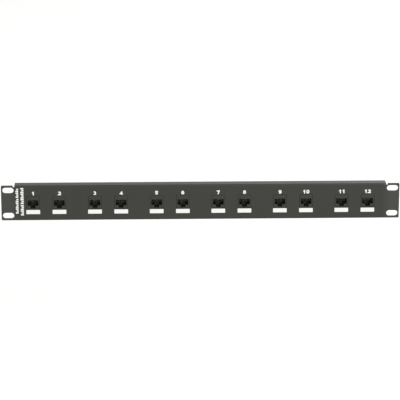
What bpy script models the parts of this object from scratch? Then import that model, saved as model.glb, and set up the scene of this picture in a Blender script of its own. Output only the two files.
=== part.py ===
"""A 19-inch, one rack unit patch bay with twelve modular 8-contact jacks in six twin modules.

Metres, +Z up, the front faces -Y. The origin is the middle of the plane in which the ears meet
the rack rails, which is the rear face of the panel's sheet.

Each module is one circuit board that stands parallel to the panel. Two jacks stick out of its
front, through windows in the panel, and a punch-down block for 16 wires stands on its rear. Two
screws hold the board on posts that are pressed into the panel. In each jack the eight contact
springs swing up about their front bend when a plug pushes them.
"""

import math

import bmesh
import bpy
from mathutils import Matrix, Vector

MM = 0.001
GAP = 0.3 * MM  # between pieces that touch on the real object
OVERCUT = 1.0 * MM  # how far a cutter reaches past the face that it opens
TOLERANCE = MM / 1000  # for telling whether a vertex lies on a line

# Front panel: one steel sheet with a flange folded back along its top edge, between the ears.
PANEL_WIDTH = 482.6 * MM
PANEL_HEIGHT = 43.65 * MM
SHEET = 1.5 * MM
FRONT = -SHEET  # Y of the panel's front face
FLANGE_LENGTH = 450.0 * MM
FLANGE_DEPTH = 12.7 * MM  # from the front face to the flange's rear edge
BEND_RADIUS = 1.7 * MM  # of the outer surface
BEND_STEPS = 5
FOLD_LINE = PANEL_HEIGHT / 2 - BEND_RADIUS  # where the bend starts
RELIEF_WIDTH = 2.0 * MM  # the cut beside each end of the fold
RELIEF_DEPTH = 0.2 * MM  # past the fold line
EAR_CORNER_RADIUS = 1.4 * MM

# Rack slots, four in all, on the rack's 31.75 mm hole spacing.
SLOT_SPACING_X = 465.6 * MM
SLOT_SPACING_Z = 31.75 * MM
SLOT_LENGTH = 13.6 * MM
SLOT_HEIGHT = 7.0 * MM

# Modules and ports along the panel.
MODULE_COUNT = 6
MODULE_PITCH = 74.8 * MM
PORT_PITCH = 31.75 * MM  # between the two ports of a module: 8 wires of the punch-down block

# Jack housing. Heights are measured from the panel's middle line.
JACK_WIDTH = 15.3 * MM
JACK_TOP = 8.2 * MM
JACK_BOTTOM = -7.4 * MM
SHOULDER = 0.7 * MM  # how far the body behind the panel stands out past the nose
MOUTH_WIDTH = 12.8 * MM
MOUTH_TOP = 3.2 * MM
MOUTH_BOTTOM = -3.75 * MM
NOTCH_WIDTH = 5.8 * MM  # for the plug's latch
NOTCH_BOTTOM = -6.8 * MM
MOUTH_CHAMFER = 0.15 * MM
CAVITY_END = 11.3 * MM  # Y of the cavity's rear wall
WINDOW_CLEARANCE = 0.4 * MM
WINDOW_CORNER_RADIUS = 0.6 * MM

# Pocket over the cavity, where the contact springs bend, and the springs themselves.
POCKET_WIDTH = 9.2 * MM
POCKET_TOP = 5.4 * MM
POCKET_START = 0.5 * MM
CONTACT_COUNT = 8
CONTACT_PITCH = 1.02 * MM
CONTACT_WIDTH = 0.46 * MM
CONTACT_THICKNESS = 0.35 * MM
CONTACT_LENGTH = 9.4 * MM
CONTACT_SLOPE = math.radians(40)
CONTACT_HINGE_Y = 1.6 * MM
CONTACT_HINGE_Z = 4.2 * MM
CONTACT_ROOT_HALF = 0.8 * MM  # half the length of the strip that joins the springs
CONTACT_ROOT_MARGIN = 0.25 * MM  # that strip beyond the outer springs

# Circuit boards.
BOARD_FRONT = 13.0 * MM
BOARD_THICKNESS = 1.6 * MM
BOARD_WIDTH = 67.0 * MM
BOARD_HEIGHT = 32.0 * MM
BOARD_CORNER_RADIUS = 1.0 * MM
BOARD_REAR = BOARD_FRONT + BOARD_THICKNESS

# Posts pressed into the panel, and the screws in them.
POST_OFFSET_X = 29.6 * MM  # from the module's middle: one upper left, one lower right
POST_OFFSET_Z = 11.4 * MM
POST_RADIUS = 2.7 * MM
POST_ROOT = 0.9 * MM  # how deep it sits in the sheet
POST_HOLE_END = 4.0 * MM
SCREW_HOLE_RADIUS = 1.8 * MM
SCREW_RADIUS = 1.45 * MM
SCREW_TIP = 6.0 * MM
SCREW_POINT_LENGTH = 1.0 * MM
SCREW_POINT_RADIUS = 1.0 * MM
SCREW_HEAD_RADIUS = 2.8 * MM
SCREW_HEAD_HEIGHT = 1.9 * MM
SCREW_HEAD_CROWN = ((0.6, 0.92), (1.0, 0.6))  # shares of the head's height and of its radius
RECESS_LENGTH = 3.2 * MM
RECESS_WIDTH = 0.8 * MM
RECESS_DEPTH = 1.1 * MM
ROUND_SIDES = 12

# Punch-down blocks: a base with a row of pointed teeth, a wire slot between each two.
BLOCK_WIDTH = 64.4 * MM
BLOCK_HEIGHT = 9.5 * MM
BLOCK_FRONT = BOARD_REAR + GAP
BLOCK_BASE_DEPTH = 8.0 * MM
TOOTH_COUNT = 17
TOOTH_PITCH = 3.81 * MM
TOOTH_WIDTH = 1.9 * MM
TOOTH_DEPTH = 9.5 * MM
TOOTH_POINT = 2.0 * MM  # the tapered part at the end of a tooth

# Colour strips that name the wires, on the upper side of each block.
STRIP_WIDTH = 62.0 * MM
STRIP_DEPTH = 5.2 * MM
STRIP_THICKNESS = 0.4 * MM
STRIP_FRONT = 16.2 * MM


def clear_scene():
    for obj in list(bpy.data.objects):
        bpy.data.objects.remove(obj, do_unlink=True)


def make_material(name, colour, roughness, metallic=0.0):
    material = bpy.data.materials.new(name)
    material.use_nodes = True
    shader = material.node_tree.nodes["Principled BSDF"]
    shader.inputs["Base Color"].default_value = (*colour, 1.0)
    shader.inputs["Roughness"].default_value = roughness
    shader.inputs["Metallic"].default_value = metallic
    return material


def mesh_from(bm, name):
    """A mesh with its faces pointing out. It frees bm."""
    bmesh.ops.recalc_face_normals(bm, faces=bm.faces)
    mesh = bpy.data.meshes.new(name)
    bm.to_mesh(mesh)
    bm.free()
    return mesh


def place(name, mesh, material=None, location=(0, 0, 0), parent=None):
    obj = bpy.data.objects.new(name, mesh)
    bpy.context.scene.collection.objects.link(obj)
    obj.location = location
    obj.parent = parent
    if material and not mesh.materials:
        mesh.materials.append(material)
    return obj


def place_empty(name, location, parent=None):
    empty = bpy.data.objects.new(name, None)
    bpy.context.scene.collection.objects.link(empty)
    empty.location = location
    empty.parent = parent
    return empty


def smooth(mesh):
    mesh.shade_smooth()
    mesh.set_sharp_from_angle(angle=math.radians(35))


def arc(centre, radius, start_deg, end_deg, steps):
    """Points (x, z) along an arc, both ends included."""
    angles = [math.radians(start_deg + (end_deg - start_deg) * i / steps) for i in range(steps + 1)]
    return [(centre[0] + radius * math.cos(a), centre[1] + radius * math.sin(a)) for a in angles]


def rounded_rectangle(left, right, bottom, top, radius, steps=2):
    return (
        arc((right - radius, bottom + radius), radius, -90, 0, steps)
        + arc((right - radius, top - radius), radius, 0, 90, steps)
        + arc((left + radius, top - radius), radius, 90, 180, steps)
        + arc((left + radius, bottom + radius), radius, 180, 270, steps)
    )


def circle(centre, radius, sides=ROUND_SIDES):
    return arc(centre, radius, 0, 360, sides)[:-1]


def plate(outline, holes, front, rear):
    """A sheet in the XZ plane with holes, from Y front to Y rear, as a bmesh."""
    bm = bmesh.new()
    for loop in [outline, *holes]:
        verts = [bm.verts.new((x, front, z)) for x, z in loop]
        for a, b in zip(verts, verts[1:] + verts[:1]):
            bm.edges.new((a, b))
    bmesh.ops.triangle_fill(bm, edges=bm.edges[:], use_beauty=True, normal=(0, -1, 0))
    grown = bmesh.ops.extrude_face_region(bm, geom=bm.faces[:])
    verts = [v for v in grown["geom"] if isinstance(v, bmesh.types.BMVert)]
    bmesh.ops.translate(bm, verts=verts, vec=(0, rear - front, 0))
    return bm


def loft(rings):
    """Joins equally long rings of points one after another and closes both ends."""
    bm = bmesh.new()
    rows = [[bm.verts.new(point) for point in ring] for ring in rings]
    for a, b in zip(rows, rows[1:]):
        for i in range(len(a)):
            j = (i + 1) % len(a)
            bm.faces.new((a[i], a[j], b[j], b[i]))
    bm.faces.new(rows[0])
    bm.faces.new(rows[-1])
    return bm


def turned(profile, sides=ROUND_SIDES):
    """A turned piece about the Y axis. The profile is (y, radius) from one end to the other."""
    return loft([[(x, y, z) for x, z in circle((0, 0), radius, sides)] for y, radius in profile])


def box(low, high):
    loop = [(low[0], low[2]), (high[0], low[2]), (high[0], high[2]), (low[0], high[2])]
    return loft([[(x, y, z) for x, z in loop] for y in (low[1], high[1])])


def joined(parts):
    """One mesh of several separate bodies, each given as (bmesh, offset). It frees them."""
    whole = bmesh.new()
    for bm, offset in parts:
        bmesh.ops.recalc_face_normals(bm, faces=bm.faces)
        bmesh.ops.translate(bm, verts=bm.verts, vec=offset)
        mesh = bpy.data.meshes.new("part")
        bm.to_mesh(mesh)
        bm.free()
        whole.from_mesh(mesh)
        bpy.data.meshes.remove(mesh)
    return mesh_from(whole, "helper")


def cut_or_join(mesh, tools):
    """mesh after a Boolean with each tool in turn, as a new mesh. A tool is (operation, mesh)."""
    name = mesh.name
    base = place("base", mesh)
    helpers = []
    for operation, tool_mesh in tools:
        helper = place("tool", tool_mesh)
        modifier = base.modifiers.new(operation, "BOOLEAN")
        modifier.operation = operation
        modifier.solver = "EXACT"
        modifier.object = helper
        helpers.append(helper)
    graph = bpy.context.evaluated_depsgraph_get()
    result = bpy.data.meshes.new_from_object(base.evaluated_get(graph))
    for obj in [base, *helpers]:
        bpy.data.objects.remove(obj, do_unlink=True)
    result.name = name
    return result


def module_x(module):
    return (module - (MODULE_COUNT - 1) / 2) * MODULE_PITCH


def port_xs():
    """The middle of each port, from port 1 on the left."""
    return [module_x(m) + side * PORT_PITCH / 2 for m in range(MODULE_COUNT) for side in (-1, 1)]


def post_places():
    """(x, z) of a module's two posts from the module's middle."""
    return [(side * POST_OFFSET_X, -side * POST_OFFSET_Z) for side in (-1, 1)]


def panel_outline():
    """The flat part of the panel: two full-height ears, and between them the sheet up to its fold."""
    half_height = PANEL_HEIGHT / 2
    flange_end = FLANGE_LENGTH / 2
    corner_x, corner_z = PANEL_WIDTH / 2 - EAR_CORNER_RADIUS, half_height - EAR_CORNER_RADIUS
    right = (
        arc((corner_x, -corner_z), EAR_CORNER_RADIUS, -90, 0, 3)
        + arc((corner_x, corner_z), EAR_CORNER_RADIUS, 0, 90, 3)
        + [
            (flange_end + RELIEF_WIDTH, half_height),
            (flange_end + RELIEF_WIDTH, FOLD_LINE - RELIEF_DEPTH),
            (flange_end, FOLD_LINE - RELIEF_DEPTH),
            (flange_end, FOLD_LINE),
        ]
    )
    return right + [(-x, z) for x, z in reversed(right)]


def rack_slot(centre_x, centre_z):
    reach = (SLOT_LENGTH - SLOT_HEIGHT) / 2
    radius = SLOT_HEIGHT / 2
    right = arc((centre_x + reach, centre_z), radius, -90, 90, 6)
    left = arc((centre_x - reach, centre_z), radius, 90, 270, 6)
    return right + left


def jack_window(centre_x):
    half = JACK_WIDTH / 2 + WINDOW_CLEARANCE
    bottom, top = JACK_BOTTOM - WINDOW_CLEARANCE, JACK_TOP + WINDOW_CLEARANCE
    return rounded_rectangle(centre_x - half, centre_x + half, bottom, top, WINDOW_CORNER_RADIUS)


def fold_flange(bm):
    """Grows the flange from the sheet's edge at the fold line: first round the bend, then back."""
    edge_faces = [
        face for face in bm.faces if all(abs(v.co.z - FOLD_LINE) < TOLERANCE for v in face.verts)
    ]
    ring = list(edge_faces[0].verts)
    bmesh.ops.delete(bm, geom=edge_faces, context="FACES_ONLY")
    pivot = Vector((0, FRONT + BEND_RADIUS, FOLD_LINE))
    start = [v.co.copy() for v in ring]
    stations = []
    for step in range(1, BEND_STEPS + 1):
        turn = Matrix.Rotation(-math.pi / 2 * step / BEND_STEPS, 3, "X")
        stations.append([turn @ (co - pivot) + pivot for co in start])
    run = Vector((0, FLANGE_DEPTH - BEND_RADIUS, 0))
    stations.append([co + run for co in stations[-1]])
    for station in stations:
        grown = [bm.verts.new(co) for co in station]
        for i in range(len(ring)):
            j = (i + 1) % len(ring)
            bm.faces.new((ring[i], ring[j], grown[j], grown[i]))
        ring = grown
    bm.faces.new(ring)


def make_front_panel(material):
    slots = [
        rack_slot(sx * SLOT_SPACING_X / 2, sz * SLOT_SPACING_Z / 2) for sx in (-1, 1) for sz in (-1, 1)
    ]
    windows = [jack_window(x) for x in port_xs()]
    bm = plate(panel_outline(), slots + windows, FRONT, 0)
    fold_flange(bm)
    sheet = mesh_from(bm, "front_panel")
    profile = [
        (-POST_ROOT, POST_RADIUS),
        (BOARD_FRONT - GAP, POST_RADIUS),
        (BOARD_FRONT - GAP, SCREW_HOLE_RADIUS),
        (POST_HOLE_END, SCREW_HOLE_RADIUS),
    ]
    places = [(module_x(m) + x, 0, z) for m in range(MODULE_COUNT) for x, z in post_places()]
    posts = joined([(turned(profile), place) for place in places])
    place("front_panel", cut_or_join(sheet, [("UNION", posts)]), material)


def mouth_ring(y, offset):
    """The T-shaped outline of the plug's opening, grown outwards by offset."""
    half, notch = MOUTH_WIDTH / 2 + offset, NOTCH_WIDTH / 2 + offset
    top, ledge, bottom = MOUTH_TOP + offset, MOUTH_BOTTOM - offset, NOTCH_BOTTOM - offset
    right = [(notch, bottom), (notch, ledge), (half, ledge), (half, top)]
    return [(x, y, z) for x, z in right + [(-x, z) for x, z in reversed(right)]]


def body_ring(y, grow):
    half = JACK_WIDTH / 2 + grow
    return [
        (-half, y, JACK_BOTTOM - grow),
        (half, y, JACK_BOTTOM - grow),
        (half, y, JACK_TOP + grow),
        (-half, y, JACK_TOP + grow),
    ]


def jack_housing_mesh():
    """A nose that fills the panel's window, a wider body behind it, and the plug's cavity."""
    body = mesh_from(
        loft(
            [
                body_ring(FRONT, 0),
                body_ring(GAP, 0),
                body_ring(GAP, SHOULDER),
                body_ring(BOARD_FRONT - GAP, SHOULDER),
            ]
        ),
        "jack_housing",
    )
    before_mouth = MOUTH_CHAMFER / 4  # the cutter continues the chamfer's slope past the front face
    mouth = mesh_from(
        loft(
            [
                mouth_ring(FRONT - before_mouth, MOUTH_CHAMFER + before_mouth),
                mouth_ring(FRONT + MOUTH_CHAMFER, 0),
                mouth_ring(CAVITY_END, 0),
            ]
        ),
        "mouth",
    )
    pocket_low = (-POCKET_WIDTH / 2, POCKET_START, MOUTH_TOP - OVERCUT)
    pocket_high = (POCKET_WIDTH / 2, CAVITY_END - GAP, POCKET_TOP)
    pocket = mesh_from(box(pocket_low, pocket_high), "pocket")
    return cut_or_join(body, [("DIFFERENCE", mouth), ("DIFFERENCE", pocket)])


def contact_spring_mesh():
    """Eight flat springs joined at their front bend, which is the mesh's origin."""
    half_width = CONTACT_WIDTH / 2
    middles = [(i - (CONTACT_COUNT - 1) / 2) * CONTACT_PITCH for i in range(CONTACT_COUNT)]
    root_edge = middles[-1] + half_width + CONTACT_ROOT_MARGIN
    outline = [(-root_edge, CONTACT_ROOT_HALF), (-root_edge, -CONTACT_ROOT_HALF)]
    outline += [(root_edge, -CONTACT_ROOT_HALF), (root_edge, CONTACT_ROOT_HALF)]
    for middle in reversed(middles):
        outline += [
            (middle + half_width, CONTACT_ROOT_HALF),
            (middle + half_width, CONTACT_LENGTH),
            (middle - half_width, CONTACT_LENGTH),
            (middle - half_width, CONTACT_ROOT_HALF),
        ]
    faces = [[(x, u, v) for x, u in outline] for v in (-CONTACT_THICKNESS / 2, CONTACT_THICKNESS / 2)]
    bm = loft(faces)
    bmesh.ops.rotate(bm, verts=bm.verts, matrix=Matrix.Rotation(-CONTACT_SLOPE, 3, "X"))
    return mesh_from(bm, "contact_springs")


def board_mesh():
    half = BOARD_WIDTH / 2
    outline = rounded_rectangle(-half, half, -BOARD_HEIGHT / 2, BOARD_HEIGHT / 2, BOARD_CORNER_RADIUS)
    holes = [circle(centre, SCREW_HOLE_RADIUS) for centre in post_places()]
    return mesh_from(plate(outline, holes, BOARD_FRONT, BOARD_REAR), "circuit_board")


def punch_block_mesh():
    """The base and its row of teeth, one outline seen from above, as thick as the block is high."""
    half = BLOCK_WIDTH / 2
    floor = BLOCK_FRONT + BLOCK_BASE_DEPTH
    shoulder, tip = floor + TOOTH_DEPTH - TOOTH_POINT, floor + TOOTH_DEPTH
    outline = [(-half, BLOCK_FRONT), (half, BLOCK_FRONT), (half, floor)]
    for i in reversed(range(TOOTH_COUNT)):
        middle = (i - (TOOTH_COUNT - 1) / 2) * TOOTH_PITCH
        right, left = middle + TOOTH_WIDTH / 2, middle - TOOTH_WIDTH / 2
        outline += [(right, floor), (right, shoulder), (middle, tip), (left, shoulder), (left, floor)]
    outline.append((-half, floor))
    heights = (-BLOCK_HEIGHT / 2, BLOCK_HEIGHT / 2)
    return mesh_from(loft([[(x, y, z) for x, y in outline] for z in heights]), "punch_block")


def strip_mesh():
    low_z = BLOCK_HEIGHT / 2 + GAP
    low = (-STRIP_WIDTH / 2, STRIP_FRONT, low_z)
    high = (STRIP_WIDTH / 2, STRIP_FRONT + STRIP_DEPTH, low_z + STRIP_THICKNESS)
    return mesh_from(box(low, high), "wiring_strip")


def screw_mesh():
    """A pan-head screw that points forwards, with a cross recess in its head."""
    seat = BOARD_REAR + GAP
    top = seat + SCREW_HEAD_HEIGHT
    profile = [
        (SCREW_TIP, SCREW_POINT_RADIUS),
        (SCREW_TIP + SCREW_POINT_LENGTH, SCREW_RADIUS),
        (seat, SCREW_RADIUS),
        (seat, SCREW_HEAD_RADIUS),
    ]
    profile += [(seat + SCREW_HEAD_HEIGHT * h, SCREW_HEAD_RADIUS * r) for h, r in SCREW_HEAD_CROWN]
    bm = turned(profile)
    bars = []
    for length, width in ((RECESS_LENGTH, RECESS_WIDTH), (RECESS_WIDTH, RECESS_LENGTH)):
        low = (-length / 2, top - RECESS_DEPTH, -width / 2)
        high = (length / 2, top + OVERCUT, width / 2)
        bars.append(("DIFFERENCE", mesh_from(box(low, high), "recess")))
    mesh = cut_or_join(mesh_from(bm, "board_screw"), bars)
    smooth(mesh)
    return mesh


def main():
    clear_scene()
    black_paint = make_material("black_powder_coat", (0.045, 0.045, 0.040), 0.5)
    black_plastic = make_material("black_plastic", (0.030, 0.030, 0.028), 0.4)
    gold = make_material("gold_plating", (0.85, 0.62, 0.28), 0.25, 1.0)
    green_board = make_material("green_board", (0.02, 0.16, 0.07), 0.45)
    ivory_plastic = make_material("ivory_plastic", (0.82, 0.80, 0.72), 0.45)
    label_paper = make_material("label_paper", (0.85, 0.85, 0.83), 0.6)
    zinc = make_material("zinc_plating", (0.60, 0.61, 0.62), 0.35, 1.0)

    make_front_panel(black_paint)
    housing, springs = jack_housing_mesh(), contact_spring_mesh()
    board, block, strip, screw = board_mesh(), punch_block_mesh(), strip_mesh(), screw_mesh()
    ports = port_xs()
    for m in range(MODULE_COUNT):
        module = place_empty(f"module_{m + 1}", (module_x(m), 0, 0))
        place(f"circuit_board_{m + 1}", board, green_board, parent=module)
        place(f"punch_block_{m + 1}", block, ivory_plastic, parent=module)
        place(f"wiring_strip_{m + 1}", strip, label_paper, parent=module)
        for side, n in enumerate((2 * m, 2 * m + 1)):
            port = place_empty(f"port_{n + 1:02d}", (ports[n] - module_x(m), 0, 0), module)
            place(f"jack_housing_{n + 1:02d}", housing, black_plastic, parent=port)
            hinge = (0, CONTACT_HINGE_Y, CONTACT_HINGE_Z)
            place(f"contact_springs_{n + 1:02d}", springs, gold, hinge, port)
            screw_x, screw_z = post_places()[side]
            place(f"board_screw_{n + 1:02d}", screw, zinc, (screw_x, 0, screw_z), module)


main()
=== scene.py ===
"""The looks of the patch bay: materials, fine pieces, a studio floor, light and a camera.

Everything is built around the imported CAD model, in metres, in its frame: +X right, +Y to the
rear, +Z up, and the panel's front faces -Y.
"""

import math

import bmesh
import bpy
from mathutils import Matrix, Vector


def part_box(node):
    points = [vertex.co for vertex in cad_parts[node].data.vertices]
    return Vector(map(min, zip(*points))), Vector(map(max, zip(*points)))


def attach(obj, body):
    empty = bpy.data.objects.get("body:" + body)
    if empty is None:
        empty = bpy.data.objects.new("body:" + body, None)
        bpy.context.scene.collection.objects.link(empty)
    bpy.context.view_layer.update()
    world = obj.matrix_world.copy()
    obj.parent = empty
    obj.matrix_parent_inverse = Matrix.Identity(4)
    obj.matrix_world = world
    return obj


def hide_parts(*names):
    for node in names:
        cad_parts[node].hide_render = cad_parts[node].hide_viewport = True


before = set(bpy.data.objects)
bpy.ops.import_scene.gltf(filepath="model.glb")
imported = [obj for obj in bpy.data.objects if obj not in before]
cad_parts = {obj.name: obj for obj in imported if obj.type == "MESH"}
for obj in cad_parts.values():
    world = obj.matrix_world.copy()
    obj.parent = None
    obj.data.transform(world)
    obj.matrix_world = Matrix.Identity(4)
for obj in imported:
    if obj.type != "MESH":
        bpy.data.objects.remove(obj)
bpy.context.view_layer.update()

MM = 0.001
PANEL = "panel"  # the body that everything but the contact springs rides on
PORT_COUNT = 12
MODULE_COUNT = 6

# Camera, floor and light.
CAMERA_AZIMUTH = math.radians(-1.38)
CAMERA_ELEVATION = math.radians(17.05)
CAMERA_DISTANCE = 2.5
CAMERA_TARGET = Vector((-0.0007, 0, 0.0018))
CAMERA_NEAR = 0.1
CAMERA_FAR = 50.0
SENSOR_WIDTH = 36.0  # mm
LENS = 185.5  # mm
FLOOR_DROP = 0.25  # from the panel's lower edge to the floor
FLOOR_SIZE = 12.0
SKY_COLOUR = (1.0, 1.0, 0.99)
SKY_STRENGTH = 0.95
LAMPS = {  # place, width and height, watts; each is aimed at the panel's middle
    "key": ((0.95, -2.75, 1.35), (2.0, 1.4), 37),
    "rear_fill": ((1.4, 2.2, 1.8), (2.4, 1.6), 22),
}

# Colours in linear RGB. A pair is the darker and the lighter tone of one material.
COAT = ((0.0105, 0.0105, 0.0058), (0.0150, 0.0150, 0.0092))
COAT_EDGE_HIGHLIGHT = 0.005  # painted highlight: added to the coat's colour on its rounded edges
BLACK = ((0.0105, 0.0105, 0.009), (0.014, 0.014, 0.012))
# Painted highlight: the black plastic a little lighter on its rounded edges.
BLACK_EDGE_HIGHLIGHT = ((0.012, 0.012, 0.0105), (0.016, 0.016, 0.014))
GREY = ((0.050, 0.050, 0.046), (0.066, 0.066, 0.062))
IVORY = ((0.66, 0.64, 0.56), (0.72, 0.70, 0.62))
LAMINATE = ((0.30, 0.33, 0.12), (0.38, 0.40, 0.17))
ZINC = ((0.52, 0.53, 0.54), (0.66, 0.67, 0.68))
GOLD = ((0.80, 0.62, 0.36), (0.96, 0.80, 0.52))
TIN = ((0.55, 0.55, 0.54), (0.75, 0.75, 0.73))
SOLDER_MASK = ((0.008, 0.085, 0.035), (0.012, 0.12, 0.05))
MASKED_COPPER = ((0.02, 0.17, 0.06), (0.03, 0.21, 0.075))
FLOOR_TONES = ((0.86, 0.86, 0.855), (0.90, 0.90, 0.895))
WHITE_INK = (0.73, 0.73, 0.72)
BOARD_INK = (0.75, 0.76, 0.72)
INK_FADE = 0.94  # of its colour, where the ink is thin
WIRE_WHITE = (0.78, 0.78, 0.75)
WIRE_PAIRS = ((0.02, 0.08, 0.42), (0.80, 0.22, 0.02), (0.02, 0.25, 0.06), (0.19, 0.07, 0.025))

# The lowest and highest roughness of a material, or how far it varies from a given one.
COAT_ROUGHNESS = (0.40, 0.56)
INK_ROUGHNESS = (0.45, 0.6)
MASK_ROUGHNESS = (0.24, 0.36)
FILM_ROUGHNESS = (0.35, 0.5)
FLOOR_ROUGHNESS = 0.85
PLASTIC_VARIES = (-0.06, 0.08)
METAL_VARIES = (-0.06, 0.1)

# Most of a noise's values lie between these.
NOISE_LOW = 0.3
NOISE_HIGH = 0.7

# Painted sheen: the ears are a little greyer than the rest of the panel.
EAR_START = 219.0 * MM  # from the panel's middle
EAR_BLEND = 12.0 * MM
EAR_SHEEN = 0.013  # added to the coat's colour

# Edges.
TOUCH = MM / 500  # vertices nearer than this are one
SHARP_ANGLE = math.radians(40)  # edges sharper than this are rounded
PANEL_ROUNDING = 0.15 * MM
HOUSING_ROUNDING = 0.12 * MM
BOARD_ROUNDING = 0.1 * MM
BLOCK_ROUNDING = 0.18 * MM
STRIP_ROUNDING = 0.06 * MM
TURNED_CREASE = math.radians(30)  # smooth shading stops at edges sharper than this
WIRE_CREASE = math.radians(50)
MITRE_LIMIT = 0.4  # keeps a stroke's sharp corners short

# Rack slots, from the panel's middle.
SLOT_X = 232.8 * MM
SLOT_Z = 15.875 * MM
SLOT_LENGTH = 13.6 * MM
SLOT_HEIGHT = 7.0 * MM
SLOT_SHAVE = 0.02 * MM  # cut off the faceted slot all round, to leave a smooth one
SLOT_STEPS = 12  # in a quarter circle

# Posts behind the panel. The faceted ones are cut away first.
CLEARED_WIDTH = 440.0 * MM
CLEARED_HEIGHT = 34.0 * MM
CLEARED_RADIUS = 1.0 * MM
CLEARED_FROM = 0.05 * MM  # behind the sheet, so that the sheet itself stays whole
POST_FOOT = (  # y from the sheet's rear, radius
    (-0.4 * MM, 2.68 * MM),
    (0.9 * MM, 2.68 * MM),
    (1.0 * MM, 2.4 * MM),
    (1.3 * MM, 2.4 * MM),
    (1.4 * MM, 2.68 * MM),
)
POST_END = (  # y from the board's front, radius
    (-0.6 * MM, 2.68 * MM),
    (-0.3 * MM, 2.4 * MM),
)
POST_SIDES = 36
OVERCUT = 1.0 * MM  # how far a cutter reaches past what it cuts

# Panel printing.
INK_THICKNESS = 0.04 * MM  # the panel's front is set back by this, so that the ink stays in its box
NUMERAL_Z = 11.85 * MM
DIGIT_WIDTH = 3.7 * MM
DIGIT_HEIGHT = 4.7 * MM
DIGIT_WEIGHT = 1.33 * MM
DIGIT_PITCH = 4.2 * MM
DIGIT_END_X = DIGIT_WEIGHT / 2 / (DIGIT_WIDTH - DIGIT_WEIGHT)  # from a stroke's middle line to
DIGIT_END_Z = DIGIT_WEIGHT / 2 / (DIGIT_HEIGHT - DIGIT_WEIGHT)  # the digit's edge, as a share
LIGHTER_DIGITS = {"3": 0.92, "4": 0.84, "5": 0.92, "8": 0.92}  # to keep them open
LABEL_WIDTH = 16.6 * MM
LABEL_HEIGHT = 5.2 * MM
LABEL_Z = -11.5 * MM
LABEL_RADIUS = 0.5 * MM
PRINT_COLUMNS = (  # x, width, lowest and highest z, and how many blocks each word has, from below
    (-222.1 * MM, 3.2 * MM, -13.6 * MM, 18.4 * MM, (8, 5)),
    (-216.0 * MM, 3.7 * MM, -16.0 * MM, 19.2 * MM, (6, 9)),
)
PRINT_FILL = 0.78  # of a block's pitch
PRINT_WORD_GAP = 0.3  # of a block's pitch
PRINT_RADIUS = 0.3 * MM
PRINT_CYCLE = 3  # the second of every three blocks is narrower
PRINT_INSET = 0.3  # by this share of its width, on the left

# Contact wires. Each runs along the jack's roof, turns round at the front and slopes back down.
WIRE_COUNT = 8
WIRE_PITCH = 1.02 * MM
WIRE_RADIUS = 0.2 * MM
WIRE_SIDES = 10
WIRE_END_TURNS = (math.radians(30), math.radians(60))  # where the rings of a round end stand
WIRE_TAIL_Z = 4.95 * MM
WIRE_TAIL_END = 11.0 * MM
WIRE_TAIL_LEAD = 1.0 * MM  # y from the bend to the last point before it
WIRE_BEND_STEPS = 9
WIRE_HINGE = Vector((1.6 * MM, 4.2 * MM))  # y, z
WIRE_SLOPE = math.radians(40)
WIRE_LENGTH = 9.4 * MM
WIRE_CROWN = 0.18 * MM  # how far the wire's middle stands above a straight line
WIRE_ARM_STEPS = 10

# The comb at the rear of the cavity: a back wall, and fins that keep the wires apart.
COMB_FRONT = 10.85 * MM  # y of the wall
COMB_BACK = 11.25 * MM
COMB_Z = -0.3 * MM
COMB_WIDTH = 12.4 * MM
COMB_HEIGHT = 6.6 * MM
COMB_RADIUS = 0.3 * MM
FIN_THICKNESS = 0.34 * MM
FIN_OUTLINE = (  # y, z
    (COMB_BACK, -3.2 * MM),
    (9.7 * MM, -3.2 * MM),
    (8.3 * MM, -1.5 * MM),
    (8.3 * MM, -0.5 * MM),
    (9.6 * MM, 3.0 * MM),
    (COMB_BACK, 3.0 * MM),
)

# A rim round each jack's nose, a little behind the face, which nearly fills the panel's window.
RIM_RISE = 0.3 * MM
RIM_SETBACK = 0.15 * MM
RIM_END = 0.6 * MM  # y, inside the wider body

# Ribs on the upper and lower side of the jack's body.
RIB_XS = (-6.2 * MM, -3.1 * MM, 0.0, 3.1 * MM, 6.2 * MM)
RIB_WIDTH = 0.9 * MM
RIB_RISE = 0.35 * MM
RIB_RADIUS = 0.6 * RIB_RISE
RIB_START = 1.6 * MM  # y
RIB_REAR_GAP = 1.2 * MM  # from its end to the body's rear

# Two snap wedges on each side of it.
SNAP_START = 2.0 * MM  # y
SNAP_END = 8.0 * MM
SNAP_SLOPE = 1.6 * MM  # length of a wedge's slopes
SNAP_RISE = 0.5 * MM
SNAP_ROOT = 0.35 * MM  # how deep it starts in the body
SNAP_HEIGHT = 3.0 * MM
SNAP_SPREAD = 4.0 * MM  # z from the body's middle

# Rear of the circuit boards: solder joints of the jacks' pins, tracks to vias, and white marks.
PIN_ROWS = (6.5 * MM, 8.7 * MM)  # z of the two staggered rows
JOINT_SIDES = 14
JOINT_PROFILE = (  # y from the board's rear, radius
    (-0.05 * MM, 0.62 * MM),
    (0.08 * MM, 0.62 * MM),
    (0.25 * MM, 0.45 * MM),
    (0.6 * MM, 0.28 * MM),
    (1.0 * MM, 0.22 * MM),
    (1.08 * MM, 0.12 * MM),
)
VIA_PROFILE = (  # y from the board's rear, radius
    (-0.05 * MM, 0.52 * MM),
    (0.08 * MM, 0.5 * MM),
    (0.09 * MM, 0.28 * MM),
    (0.02 * MM, 0.22 * MM),
)
VIA_NEAREST = 6.4 * MM  # from the jack's middle
VIA_PITCH = 1.2 * MM
LANE_LOW = 10.4 * MM  # z of the lowest track
LANE_PITCH = 1.25 * MM
TRACK_WIDTH = 0.5 * MM
TRACK_RISE = 0.05 * MM
TRACK_CORNER = 0.7 * MM
POUR_XS = (-15.5 * MM, 15.5 * MM)  # two wide copper areas, from the board's middle
POUR_Z = -10.6 * MM
POUR_WIDTH = 26.0 * MM
POUR_HEIGHT = 7.0 * MM
POUR_RADIUS = 1.2 * MM
MARK_WIDTH = 0.22 * MM
MARK_RISE = 0.03 * MM
JACK_MARK_Z = 7.6 * MM
JACK_MARK_WIDTH = 9.6 * MM
JACK_MARK_HEIGHT = 4.6 * MM
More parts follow.
